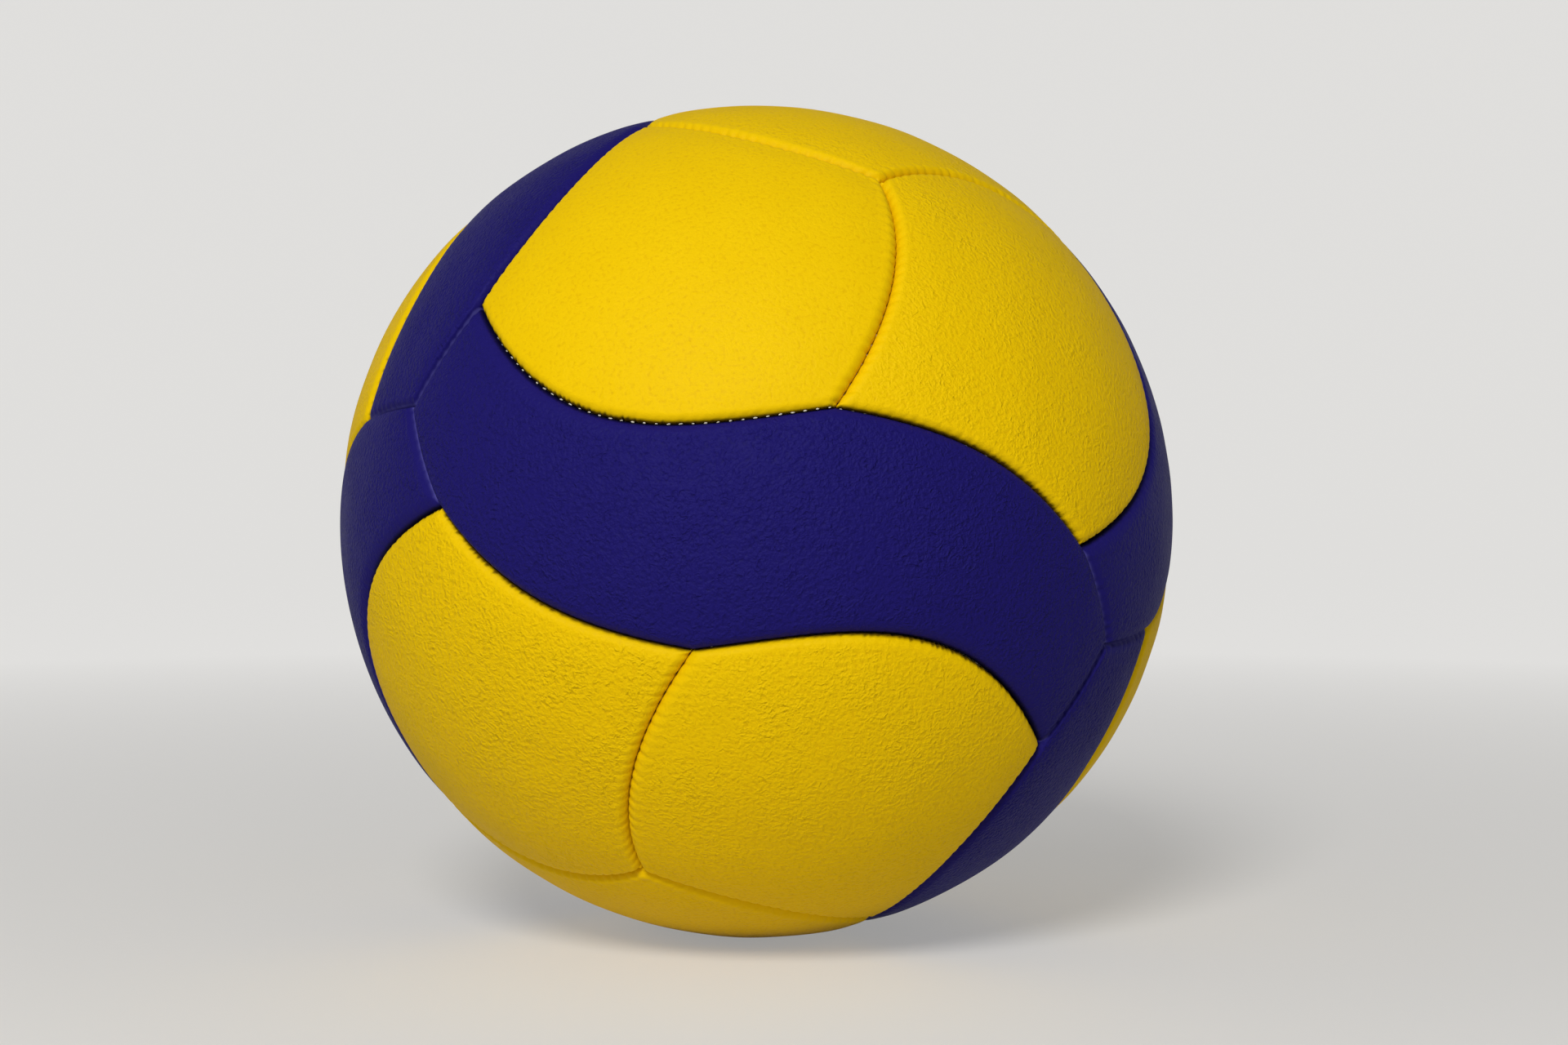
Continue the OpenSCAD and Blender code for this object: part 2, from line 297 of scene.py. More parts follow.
def sheetPoints(sides, kinds, gridU, gridV, cells, top, edge, inset, seed=None):
    # lays the corners of a flat grid on the ball: returns their places, how far each is from the seams,
    # and how much painted shade lies on each by its seam (below 0, a painted highlight)
    away, fall, wall = edge
    rows = len(away) - 1
    nu, nv = cells
    mu, mv = np.minimum(gridU, nu - gridU), np.minimum(gridV, nv - gridV)
    u, v = gridU / nu, gridV / nv
    beyondU, beyondV = np.maximum(rows - mu, 0), np.maximum(rows - mv, 0)
    shareU = beyondU**2 / np.maximum(beyondU**2 + beyondV**2, 1)
    corner = (beyondU > 0) & (beyondV > 0)  # the four corners are rounded

    def bySide(size):
        # a size of the roll that each grid corner has along u and along v
        left, right, bottom, over = (rolls[kinds[s]][size] for s in ("left", "right", "bottom", "top"))
        alongU, alongV = np.where(gridU * 2 <= nu, left, right), np.where(gridV * 2 <= nv, bottom, over)
        return alongU, alongV, left + right, bottom + over

    widthU, widthV, bothU, bothV = bySide("width")
    dropU, dropV, _, _ = bySide("drop")
    for _ in range(4):  # the panel's width depends on the place, so each round comes closer
        lengthU, lengthV = spans(sides, u, v)
        reach = []
        for m, n, length, width, both in (
            (mu, nu, lengthU, widthU, bothU), (mv, nv, lengthV, widthV, bothV),
        ):
            step = (length - 2 * inset - both) / (n - 2 * rows)
            reach.append(width * away[np.minimum(m, rows)] + np.maximum(m - rows, 0) * step)
        du, dv = reach
        diagonal = (beyondU**cover["corner"] + beyondV**cover["corner"]) ** (1 / cover["corner"])
        around = (1 - away[np.minimum(mu, mv)[corner]]) / diagonal[corner]
        du[corner] = widthU[corner] * (1 - around * beyondU[corner])
        dv[corner] = widthV[corner] * (1 - around * beyondV[corner])
        sink = np.zeros(u.shape)
        if seed is not None:
            du, dv, sink = pulled(sides, kinds, u, v, du, dv, lengthU, lengthV, seed)
        partU, partV = (inset + du) / lengthU, (inset + dv) / lengthV
        u = np.where(gridU * 2 <= nu, partU, 1 - partU)
        v = np.where(gridV * 2 <= nv, partV, 1 - partV)
    flat = np.ones(u.shape)
    pulls, bead, paintedShading, reaches = np.zeros((4,) + u.shape)
    lowU, lowV = gridU * 2 <= nu, gridV * 2 <= nv
    for number, (side, share, d) in enumerate((
        ("left", v, np.where(lowU, du, lengthU - du)), ("right", v, np.where(lowU, lengthU - du, du)),
        ("bottom", u, np.where(lowV, dv, lengthV - dv)), ("top", u, np.where(lowV, lengthV - dv, dv)),
    )):
        flat = flat * (1 - np.clip(1 - d / cover["crownWidth"], 0, 1) ** cover["crownPower"])
        pull = np.maximum(d, cover["closest"]) ** -cover["sidePower"]
        pulls += pull
        bead += pull * rolls[kinds[side]]["bead"]
        paintedShading += pull * rolls[kinds[side]]["paintedShading"]
        tooth = rolls[kinds[side]]["teeth"] * teethAlong(sides[side], share, seed, number)
        reaches += pull * (rolls[kinds[side]]["reach"] + tooth)
    near = pulls ** (-1 / cover["sidePower"])  # how far the nearest seam is, rounded at the corners
    ridge = np.exp(-(((near - cover["beadPlace"]) / cover["beadSpread"]) ** 2))
    drop = dropU * shareU + dropV * np.where(beyondU + beyondV > 0, 1 - shareU, 0)
    ring = np.minimum(np.minimum(mu, mv), rows)
    height = top - cover["crownDrop"] * (1 - flat) - drop * fall[ring] - sink + bead / pulls * ridge
    height = height - (height - ball["hemRadius"]) * wall[ring]
    # painted shade in the groove by each seam, fading within its reach; below 0 it is a painted highlight
    paintedShading = paintedShading / pulls * np.clip((reaches / pulls - near) / cover["grooveFade"], 0, 1)
    return patchAt(sides, u, v) * height[..., None], near, paintedShading


def pulled(sides, kinds, u, v, du, dv, lengthU, lengthV, seed):
    # each stitch pulls the panel's edge down and back, by a slightly different amount
    dice = np.random.default_rng(seed)
    sink = np.zeros(u.shape)
    back = {"u": np.zeros(u.shape), "v": np.zeros(u.shape)}
    for number, (side, share, d, axis) in enumerate((
        ("left", v, np.where(u <= 0.5, du, lengthU - du), "u"),
        ("right", v, np.where(u > 0.5, du, lengthU - du), "u"),
        ("bottom", u, np.where(v <= 0.5, dv, lengthV - dv), "v"),
        ("top", u, np.where(v > 0.5, dv, lengthV - dv), "v"),
    )):
        roll = rolls[kinds[side]]
        d = np.maximum(d, 0)
        count = sideAt(sides[side], share)[1]
        strength = dice.uniform(*cover["pullRange"], manyStitches)
        leaning = count + cover["pullLean"] * np.minimum(d, cover["leanReach"]) / stitching["pitch"]
        pinch = (0.5 - 0.5 * np.cos(2 * math.pi * leaning)) ** cover["pullPower"]
        pinch = pinch * strength[leaning.astype(int) % manyStitches]
        near, further = np.exp(-d / cover["pullReach"]), np.exp(-d / cover["rippleReach"])
        sink += (roll["pull"] * near + roll["ripple"] * further) * pinch
        jagged = roll["jag"] * teethAlong(sides[side], share, seed, number)
        back[axis] += (roll["back"] * pinch + jagged) * near
    return du + back["u"], dv + back["v"], sink


cutting = {"north": (0.3, 0.2, 1.0), "turn": 2.4, "shift": (0.31, 0.17)}


def flattened(points, seed):
    # the panel laid flat: distance and direction from its middle, each panel cut from its own place
    middle = unit(points.mean(0))
    east = unit(np.cross(cutting["north"], middle))
    north = np.cross(middle, east)
    spots = np.stack([points @ east, points @ north], -1)
    angles = np.arccos(np.clip(unit(points) @ middle, -1, 1))
    flat = spots * (ball["radius"] * angles / np.maximum(np.linalg.norm(spots, axis=-1), 1e-9))[:, None]
    turn = cutting["turn"] * seed
    spin = np.array([[math.cos(turn), -math.sin(turn)], [math.sin(turn), math.cos(turn)]])
    return flat @ spin + np.array(cutting["shift"]) * seed


def gridFaces(bm, cells):
    # a flat grid of quads, and the whole numbers of each of its corners
    made = bmesh.ops.create_grid(bm, x_segments=cells[0], y_segments=cells[1], size=0.5)["verts"]
    flat = np.array([vert.co[:] for vert in made])
    grid = np.rint((flat[:, :2] + 0.5) * np.array(cells)).astype(int)
    return made, grid[:, 0], grid[:, 1]


def moveTo(verts, points):
    for vert, point in zip(verts, points):
        vert.co = point


def borderEdges(verts):
    return [e for vert in verts for e in vert.link_edges if e.is_boundary and e.verts[0] is vert]


def placedPanel(turn, flip):
    pattern = Matrix.Rotation(math.radians(ball["patternRoll"]), 4, "Z")
    third = Matrix.Rotation(math.radians(120 * turn), 4, Vector((1, 1, 1)))
    over = Matrix.Identity(4)
    for degrees, axis in zip(flip, "XYZ"):
        over = Matrix.Rotation(math.radians(degrees), 4, axis) @ over
    return Matrix.Rotation(math.radians(90), 4, "X") @ pattern @ over @ third


def keep(bm, name, finish, angle=50):
    # turns a bmesh into an object with its faces outwards, smooth but for edges sharper than the angle
    bmesh.ops.recalc_face_normals(bm, faces=bm.faces)
    mesh = bpy.data.meshes.new(name)
    bm.to_mesh(mesh)
    bm.free()
    mesh.shade_smooth()
    mesh.set_sharp_from_angle(angle=math.radians(angle))
    piece = bpy.data.objects.new(name, mesh)
    bpy.context.scene.collection.objects.link(piece)
    mesh.materials.append(finish)
    return piece


panelSides = {"blue": blueSides, "yellow": yellowSides}


def panel(name, tint, place, seed, coarse, finish):
    # the fine outer sheet with its hem, a coarse sheet inside it, and the hem's bottom between them
    sides = panelSides[tint]
    bm = bmesh.new()
    grainMap = bm.loops.layers.uv.new("grain")
    fromSeam = bm.verts.layers.float.new("fromSeam")
    # the painted shade by the seams, and below 0 the painted highlight, for the leather's colour
    paintedSeamShading = bm.verts.layers.float.new("paintedSeamShading")
    grainStrength = bm.verts.layers.float.new("grainStrength")

    cells = cover["cells"][tint]
    outer, gridU, gridV = gridFaces(bm, cells)
    edge = edgeRows(cover["wallRows"], cover["rollRows"])
    points, gaps, shades = sheetPoints(
        sides, coverRolls[tint], gridU, gridV, cells, ball["radius"], edge, cover["halfGap"], seed
    )
    wander = slowWaves(points, seed) * cover["wander"] * np.clip(gaps / cover["wanderFrom"], 0, 1)
    points = points * (1 + (wander - cover["wander"]) / ball["radius"])[:, None]
    moveTo(outer, points)
    for vert, gap, shade, spot in zip(outer, gaps, shades, flattened(points, seed)):
        vert[fromSeam] = gap
        vert[paintedSeamShading] = shade
        vert[grainStrength] = coarse
        for loop in vert.link_loops:
            loop[grainMap].uv = spot

    cells = cover["innerCells"][tint]
    inner, gridU, gridV = gridFaces(bm, cells)
    points, _, _ = sheetPoints(
        sides, dict.fromkeys(sides, "sewnIn"), gridU, gridV, cells, ball["radius"] - cover["thickness"],
        edgeRows(*coarseEdge), cover["halfGap"] + cover["thickness"],
    )
    moveTo(inner, points)
    bmesh.ops.bridge_loops(bm, edges=borderEdges(outer) + borderEdges(inner))
    bmesh.ops.transform(bm, matrix=place, verts=bm.verts)
    return keep(bm, name, finish)


def foamPad(name, tint, place, finish):
    # a thin cushion, domed above and lying on the cloth below
    sides = panelSides[tint]
    cells = foam["cells"][tint]
    bm = bmesh.new()
    upper, gridU, gridV = gridFaces(bm, cells)
    points, _, _ = sheetPoints(
        sides, dict.fromkeys(sides, "foam"), gridU, gridV, cells, foam["radius"],
        edgeRows(*coarseEdge), foam["inset"],
    )
    moveTo(upper, points)
    lower, gridU, gridV = gridFaces(bm, cells)
    moveTo(lower, unit(points) * ball["hemRadius"])
    bmesh.ops.remove_doubles(bm, verts=bm.verts, dist=0.000001)
    bmesh.ops.transform(bm, matrix=place, verts=bm.verts)
    return keep(bm, name, finish, angle=40)


class Signal:
    # a number that flows between the nodes of one finish
    def __init__(self, finish, socket):
        self.finish, self.socket = finish, socket

    def maths(self, operation, first, second):
        return self.finish.node("ShaderNodeMath", {"operation": operation}, {0: first, 1: second})

    def __add__(self, other):
        return self.maths("ADD", self, other)

    def __radd__(self, other):
        return self.maths("ADD", other, self)

    def __sub__(self, other):
        return self.maths("SUBTRACT", self, other)

    def __rsub__(self, other):
        return self.maths("SUBTRACT", other, self)

    def __mul__(self, other):
        return self.maths("MULTIPLY", self, other)

    def __rmul__(self, other):
        return self.maths("MULTIPLY", other, self)

    def __truediv__(self, other):
        return self.maths("DIVIDE", self, other)

    def __pow__(self, other):
        return self.maths("POWER", self, other)

    def size(self):
        return self.finish.node("ShaderNodeMath", {"operation": "ABSOLUTE"}, {0: self})

    def clipped(self):
        return self.finish.node(
            "ShaderNodeMath", {"operation": "ADD", "use_clamp": True}, {0: self, 1: 0.0}
        )


class Finish:
    # one material: its nodes, each made from a type, settings and sockets
    def __init__(self, name, **constants):
        self.material = bpy.data.materials.new(name)
        self.material.use_nodes = True
        self.tree = self.material.node_tree
        self.shader = self.tree.nodes["Principled BSDF"]
        self.set(constants)

    def set(self, values):
        for name, value in values.items():
            self.feed(self.shader.inputs[name.replace("_", " ")], value)

    def feed(self, socket, value):
        if isinstance(value, Signal):
            self.tree.links.new(value.socket, socket)
        else:
            socket.default_value = value

    def node(self, kind, settings=None, inputs=None, output=0):
        made = self.tree.nodes.new(kind)
        for name, value in (settings or {}).items():
            setattr(made, name, value)
        for name, value in (inputs or {}).items():
            self.feed(made.inputs[name], value)
        return Signal(self, made.outputs[output])

    def place(self):
        return self.node("ShaderNodeTexCoord", output="Object")

    def mixed(self, share, first, second):
        # this node's sockets share their names, so they go by number: those for colours are 6, 7 and 2
        return self.node("ShaderNodeMix", {"data_type": "RGBA"}, {0: share, 6: first, 7: second}, 2)

    def bumped(self, height, distance):
        inputs = {"Height": height, "Distance": distance, "Strength": 1.0}
        self.feed(self.shader.inputs["Normal"], self.node("ShaderNodeBump", None, inputs))


def colour(red, green, blue):
    # a colour as it is seen on a screen, 0 to 255, made linear
    parts = [c / 255 for c in (red, green, blue)]
    return [p / 12.92 if p <= 0.04045 else ((p + 0.055) / 1.055) ** 2.4 for p in parts] + [1]


leather = {
    "wrinkleScale": 600,  # wrinkles to a metre
    "swellScale": 980,
    "poreScale": 3000,
    "breakScale": 400,
    "bendScale": 330,
    "bend": 0.0010,  # how far the creases wander, in metres
    "regionScale": 65,
    "smoothEdge": 0.0036,  # the grain is stretched flat this near a seam
    "edgeGrain": 0.12,  # what is left of it at the seam
    "edgePower": 1.5,
    "noiseRoughness": 0.55,
    "wrinkleSteep": 7,  # more makes the wrinkles narrower
    "breakSteep": 4,  # how quickly a wrinkle fades where it is broken off
    "breakLevel": 0.42,
    "wrinkleShare": 0.22,
    "swellShare": 0.70,
    "poreShare": 0.10,
    "regionShares": (0.30, 1.4),  # the grain's strength in a calm region, and what a rough one adds
    "hollowTone": 0.45,  # how much of the deep tone, painted shade, lies in the grain's hollows
    "hollowFrom": 1.4,
    "hollowBySwell": 2.8,
    "hollowByWrinkle": 0.5,
    "wornShare": 0.08,
    "wornByRegion": 0.5,
    "dullBySwell": 0.16,
    "dullByRegion": 0.06,
    "specular": 0.06,
    "refraction": 1.47,
}
# the pale tone beside the seams between blue panels is a painted highlight, and the shade tone is painted
# shade in the grooves
leathers = {
    "yellow": {
        "base": (238, 196, 0), "deep": (208, 154, 0), "worn": (244, 204, 6),
        "paintedHighlight": (246, 214, 60), "shade": (64, 38, 2), "roughness": 0.55, "depth": 0.00036,
    },
    "blue": {
        "base": (28, 22, 101), "deep": (14, 10, 60), "worn": (33, 28, 107),
        "paintedHighlight": (96, 92, 172), "shade": (7, 5, 28), "roughness": 0.52, "depth": 0.00070,
    },
}


def leatherFinish(name, look):
    s = leather
    finish = Finish(name, IOR=s["refraction"], Specular_IOR_Level=s["specular"])
    tones = ("base", "deep", "worn", "paintedHighlight", "shade")
    base, deep, worn, paintedHighlight, shade = (colour(*look[tone]) for tone in tones)
    grainMap = finish.node("ShaderNodeUVMap", {"uv_map": "grain"})

    def noise(scale, detail, place=grainMap, output=0):
        return finish.node(
            "ShaderNodeTexNoise", {"noise_dimensions": "2D"},
            {"Vector": place, "Scale": scale, "Detail": detail, "Roughness": s["noiseRoughness"]}, output,
        )

    wander = noise(s["bendScale"], 1.5, grainMap, "Color")
    bent = finish.node(
        "ShaderNodeVectorMath", {"operation": "MULTIPLY_ADD"},
        {0: wander, 1: (s["bend"],) * 3, 2: grainMap},
    )
    # raised wrinkles wind over the skin, broken into short lengths, on a low uneven swell
    wrinkle = (1 - s["wrinkleSteep"] * (noise(s["wrinkleScale"], 0.6, bent) - 0.5).size()).clipped()
    wrinkle = wrinkle * wrinkle * (3 - 2 * wrinkle)  # eased at both ends
    wrinkle = wrinkle * (s["breakSteep"] * (noise(s["breakScale"], 1.0) - s["breakLevel"])).clipped()
    swell = noise(s["swellScale"], 1.5, bent)
    pores = noise(s["poreScale"], 1.0)
    region = noise(s["regionScale"], 2.0)
    fromSeam, paintedSeamShading, strength = (
        finish.node("ShaderNodeAttribute", {"attribute_name": attribute}, output="Fac")
        for attribute in ("fromSeam", "paintedSeamShading", "grainStrength")
    )
    inside = (fromSeam / s["smoothEdge"]).clipped() ** s["edgePower"]
    grain = wrinkle * s["wrinkleShare"] + swell * s["swellShare"] + pores * s["poreShare"]
    left, calm, rough = s["edgeGrain"], *s["regionShares"]
    height = grain * (left + (1 - left) * inside) * (calm + rough * region) * strength
    finish.bumped(height, look["depth"])
    # the grain's hollows get a deeper tone as painted shade, some regions are paler, the grooves get
    # painted shade and the edges of the seams between blue panels a painted pale highlight
    hollow = s["hollowFrom"] - s["hollowBySwell"] * swell - s["hollowByWrinkle"] * wrinkle
    # the deeper tone in the grain's hollows is painted shade
    tone = finish.mixed(hollow.clipped() * s["hollowTone"] * inside, base, deep)
    tone = finish.mixed((s["wornShare"] + s["wornByRegion"] * (region - 0.5)).clipped(), tone, worn)
    # a painted pale highlight on the edges by the seams between blue panels
    tone = finish.mixed((paintedSeamShading * -1).clipped(), tone, paintedHighlight)
    # painted shade in the grooves by the seams
    tone = finish.mixed(paintedSeamShading.clipped(), tone, shade)
    dull = look["roughness"] + s["dullBySwell"] * (swell - 0.5) + s["dullByRegion"] * region
    finish.set({"Base_Color": tone, "Roughness": dull})
    return finish.material


leatherFinishes = {tint: leatherFinish(f"{tint}_leather", look) for tint, look in leathers.items()}


def toned(finish, share, tones):
    # a mix of two tones
    low, high = (colour(*tone) for tone in tones)
    finish.set({"Base_Color": finish.mixed(share, low, high)})


# the scale of each finish is how many of its details lie in a metre
thread = {
    "tones": ((196, 189, 172), (232, 227, 212)), "scale": 900, "distortion": 2.0,
    "depth": 0.00006, "roughness": 0.75,
}


def threadFinish():
    # the twist of the yarn
    finish = Finish("thread", Roughness=thread["roughness"])
    place = finish.place()
    twist = finish.node(
        "ShaderNodeTexWave", {"wave_type": "BANDS", "bands_direction": "DIAGONAL"},
        {"Vector": place, "Scale": thread["scale"], "Distortion": thread["distortion"]},
    )
    finish.bumped(twist, thread["depth"])
    toned(finish, twist, thread["tones"])
    return finish.material


foamLook = {
    "tones": ((206, 206, 200), (232, 232, 226)), "scale": 1300, "depth": 0.0001, "roughness": 0.85,
}


def foamFinish():
    # the cut cells of the foam
    finish = Finish("foam", Roughness=foamLook["roughness"])
    place = finish.place()
    cell = finish.node("ShaderNodeTexVoronoi", None, {"Vector": place, "Scale": foamLook["scale"]})
    finish.bumped(cell, foamLook["depth"])
    toned(finish, cell, foamLook["tones"])
    return finish.material


cloth = {
    "tones": ((150, 142, 122), (214, 206, 186)), "scale": 380, "distortion": 0.4,
    "depth": 0.00015, "roughness": 0.9,
}


def wovenFinish():
    # plain weave: threads over and under in both directions
    finish = Finish("carcass_cloth", Roughness=cloth["roughness"])
    place = finish.place()
    warp, weft = (
        finish.node(
            "ShaderNodeTexWave", {"wave_type": "BANDS", "bands_direction": direction},
            {"Vector": place, "Scale": cloth["scale"], "Distortion": cloth["distortion"], "Detail": 1.0},
        )
        for direction in "XZ"
    )
    crossing = warp * weft
    finish.bumped(crossing, cloth["depth"])
    toned(finish, crossing, cloth["tones"])
    return finish.material


rubbers = {
    "bladder": {
        "tones": ((38, 36, 36), (66, 62, 60)), "scale": 240, "depth": 0.00005, "roughness": 0.4,
    },
    "valve": {
        "tones": ((20, 20, 22), (38, 38, 40)), "scale": 700, "depth": 0.00003, "roughness": 0.38,
    },
    "core": {
        "tones": ((52, 50, 48), (78, 76, 72)), "scale": 700, "depth": 0.00003, "roughness": 0.45,
    },
    "fineScale": 6,  # how much finer the relief is than the mottling
    "dullByMottle": 0.2,
}


def rubberFinish(name):
    # moulded rubber, slightly mottled
    look = rubbers[name]
    finish = Finish(f"{name}_rubber")
    place = finish.place()
    mottle, fine = (
        finish.node("ShaderNodeTexNoise", None, {"Vector": place, "Scale": scale, "Detail": detail})
        for scale, detail in ((look["scale"], 4.0), (look["scale"] * rubbers["fineScale"], 2.0))
    )
    finish.bumped(fine, look["depth"])
    toned(finish, mottle, look["tones"])
    finish.set({"Roughness": look["roughness"] + rubbers["dullByMottle"] * mottle})
    return finish.material


threadMaterial, foamMaterial, clothMaterial = threadFinish(), foamFinish(), wovenFinish()
bladderRubber, valveRubber, coreRubber = (rubberFinish(name) for name in ("bladder", "valve", "core"))
print("finishes made")


# where the eighteen panels lie: the third of a turn about a cube's corner, and then how they are flipped
blueTurns = {
    "front": (0, (0, 0, 0)), "back": (0, (180, 0, 0)), "right": (1, (0, 0, 0)),
    "left": (1, (0, 180, 0)), "top": (2, (0, 0, 0)), "bottom": (2, (180, 0, 0)),
}
yellowFlips = {
    "top_front": (0, 0, 0), "right_back": (180, 0, 0),
    "left_back": (0, 180, 0), "bottom_front": (0, 0, 180),
}
layout = [("blue", side, turn, flip) for side, (turn, flip) in blueTurns.items()]
layout += [
    ("yellow", f"{side}_{letter}", turn, flip)
    for side, flip in yellowFlips.items()
    for turn, letter in enumerate("abc")
]
# the panels are cut from different places of the sheet, so the grain is deeper on some
grainStrengths = {
    "top_front_a": 1.15, "top_front_b": 0.9, "top_front_c": 0.45, "bottom_front_a": 1.7,
    "bottom_front_b": 1.3, "bottom_front_c": 1.25, "front": 1.05, "left": 1.0, "right": 0.8,
}
usualGrain = 1.1
firstSeed = 11


def punched(piece, near, far):
    # cuts the round hole for the valve along +Y
    bm = bmesh.new()
    bmesh.ops.create_cone(
        bm, cap_ends=True, segments=64, radius1=ball["holeRadius"], radius2=ball["holeRadius"],
        depth=far - near,
    )
    turn = Matrix.Translation((0, (near + far) / 2, 0)) @ Matrix.Rotation(math.radians(90), 4, "X")
    bmesh.ops.transform(bm, matrix=turn, verts=bm.verts)
    punch = keep(bm, "punch", None)
    punch.data.materials.clear()
    cut = piece.modifiers.new("hole", "BOOLEAN")
    cut.operation, cut.object, cut.solver = "DIFFERENCE", punch, "EXACT"
    bpy.context.view_layer.update()
    shaped = bpy.data.meshes.new_from_object(piece.evaluated_get(bpy.context.evaluated_depsgraph_get()))
    piece.modifiers.clear()
    piece.data = shaped
    bpy.data.objects.remove(punch)


for number, (tint, side, turn, flip) in enumerate(layout):
    place = placedPanel(turn, flip)
    skin = panel(
        f"{tint}_panel_{side}", tint, place, firstSeed + number,
        grainStrengths.get(side, usualGrain), leatherFinishes[tint],
    )
    pad = foamPad(f"foam_{tint}_{side}", tint, place, foamMaterial)
    if side == "back":
        punched(skin, *ball["holeReach"])
        punched(pad, *ball["holeReach"])
    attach(skin, root)
    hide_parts(f"cover_{tint}_{side}")
    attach(pad, root)
    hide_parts(f"pad_{tint}_{side}")
print("panels and foam made:", len(layout))


def oneSeam(name, dice):
    # the stitches of one seam, each a short grain of thread lying along it
    ts, along, count = seamLengths[name]
    row = bmesh.new()
    start = dice.uniform(0, 2 * math.pi)
    hidden = 0 if name in ("long", "short") else 1  # no stitch shows where three panels meet
    for k in range(hidden, count - hidden):
        share = (k + 0.5) / count
        t = np.interp(share * along[-1], along, ts)
        here, on = seamAt(name, t), seamAt(name, min(t + stitching["lookOn"], 1.0))
        out = Vector(here)
        forward = Vector(on - here)
        forward = (forward - out * forward.dot(out)).normalized()
        stand = Matrix((forward, out.cross(forward), out)).transposed().to_4x4()
        low, high = stitching["level"][name]
        level = low + (high - low) * share + dice.uniform(-1, 1) * stitching["jitter"]
        turns = share * along[-1] / stitching["waveLength"]
        level += stitching["wave"] * math.sin(start + 2 * math.pi * turns)
        stand.translation = out * level
        slant = math.radians(stitching["slant"] * dice.uniform(*stitching["slantRange"]))
        half = stitching["length"] / 2 * dice.uniform(*stitching["lengthRange"])
        thick = stitching["threadRadius"] * dice.uniform(*stitching["thickRange"])
        made = bmesh.ops.create_uvsphere(row, u_segments=8, v_segments=5, radius=1.0)["verts"]
        lying = Matrix.Rotation(slant, 4, "Z") @ Matrix.Rotation(math.radians(90), 4, "Y")
        grainShape = Matrix.Diagonal((thick, thick, half, 1))
        bmesh.ops.transform(row, matrix=stand @ lying @ grainShape, verts=made)
    mesh = bpy.data.meshes.new("row")
    row.to_mesh(mesh)
    row.free()
    return mesh


fourPlaces = ((0, 0, 0), (180, 0, 0), (0, 180, 0), (0, 0, 180))


def stitchRows(name):
    # the pattern has each seam twelve times: three turns about a corner, each in four places
    dice = np.random.default_rng(stitching["seed"] + len(name))
    bm = bmesh.new()
    for turn, deeper in enumerate(stitching["deeperByTurn"]):
        row = oneSeam(name, dice)
        for flip, deeperStill in zip(fourPlaces, stitching["deeperByFlip"]):
            earlier = len(bm.verts)
            bm.from_mesh(row)
            bm.verts.ensure_lookup_table()
            sunk = Matrix.Scale(1 - (deeper + deeperStill) / ball["radius"], 4)
            bmesh.ops.transform(bm, matrix=placedPanel(turn, flip) @ sunk, verts=bm.verts[earlier:])
        bpy.data.meshes.remove(row)
    piece = keep(bm, f"thread_{name}_seams", threadMaterial)
    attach(piece, root)


for name in seams:
    stitchRows(name)
print("stitches made")


def spun(name, profile, finish, steps=64, closed=True):
    # a profile of (radius, place along the valve's axis), spun round that axis
    bm = bmesh.new()
    ring = [bm.verts.new((r, y, 0)) for r, y in profile]
    pairs = list(zip(ring, ring[1:])) + ([(ring[-1], ring[0])] if closed else [])
    edges = [bm.edges.new(pair) for pair in pairs]
    bmesh.ops.spin(
        bm, geom=ring + edges, cent=(0, 0, 0), axis=(0, 1, 0), angle=2 * math.pi, steps=steps,
        use_merge=True,
    )
    bmesh.ops.remove_doubles(bm, verts=bm.verts, dist=0.0000005)
    onAxis = [edge for edge in bm.edges if edge.is_wire]
    bmesh.ops.delete(bm, geom=onAxis, context="EDGES")
    return keep(bm, name, finish, angle=35)


def arc(radius, start, end, steps, centre=(0, 0)):
    # points of an arc, its angles in degrees from the valve's axis
    return [
        (centre[0] + radius * math.sin(a), centre[1] + radius * math.cos(a))
        for a in np.radians(np.linspace(start, end, steps))
    ]


def holeAngle(radius):
    return math.degrees(math.asin(ball["holeRadius"] / radius))


def layer(name, radius, wall, start, end, finish, points=60, steps=128):
    # a layer of the ball between two angles from the valve, with its thickness
    profile = arc(radius, start, end, points)
    inner = arc(radius - wall, start, end, points)
    return spun(name, profile + inner[::-1], finish, steps)


cupEdge = math.degrees(math.asin(ball["cupGap"] / 2 / ball["clothRadius"]))
backCup = layer(
    "cloth_cup_valve_side", ball["clothRadius"], ball["clothThickness"],
    holeAngle(ball["clothRadius"]), 90 - cupEdge, clothMaterial,
)
frontCup = layer(
    "cloth_cup_far_side", ball["clothRadius"], ball["clothThickness"], 90 + cupEdge, 180, clothMaterial
)
bladder = layer(
    "bladder_wall", ball["bladderRadius"], ball["bladderWall"],
    holeAngle(ball["bladderRadius"]), 180, bladderRubber,
)

valve = {
    "face": 0.1049, "end": 0.0870, "radius": 0.0045, "fillet": 0.0004,
    "flangeRadius": 0.0140, "flangeTop": 0.0989, "flangeThickness": 0.0012,
    "bore": 0.0026, "collarBore": 0.0034, "collarDepth": 0.0013, "lip": 0.0002, "tip": 0.0004,
}
core = {
    "radius": 0.0025, "collar": 0.0033, "collarThickness": 0.0012, "chamfer": 0.00025,
    "needle": 0.0011, "needleDepth": 0.0120, "funnel": 0.0007, "funnelSlope": 0.7,
}


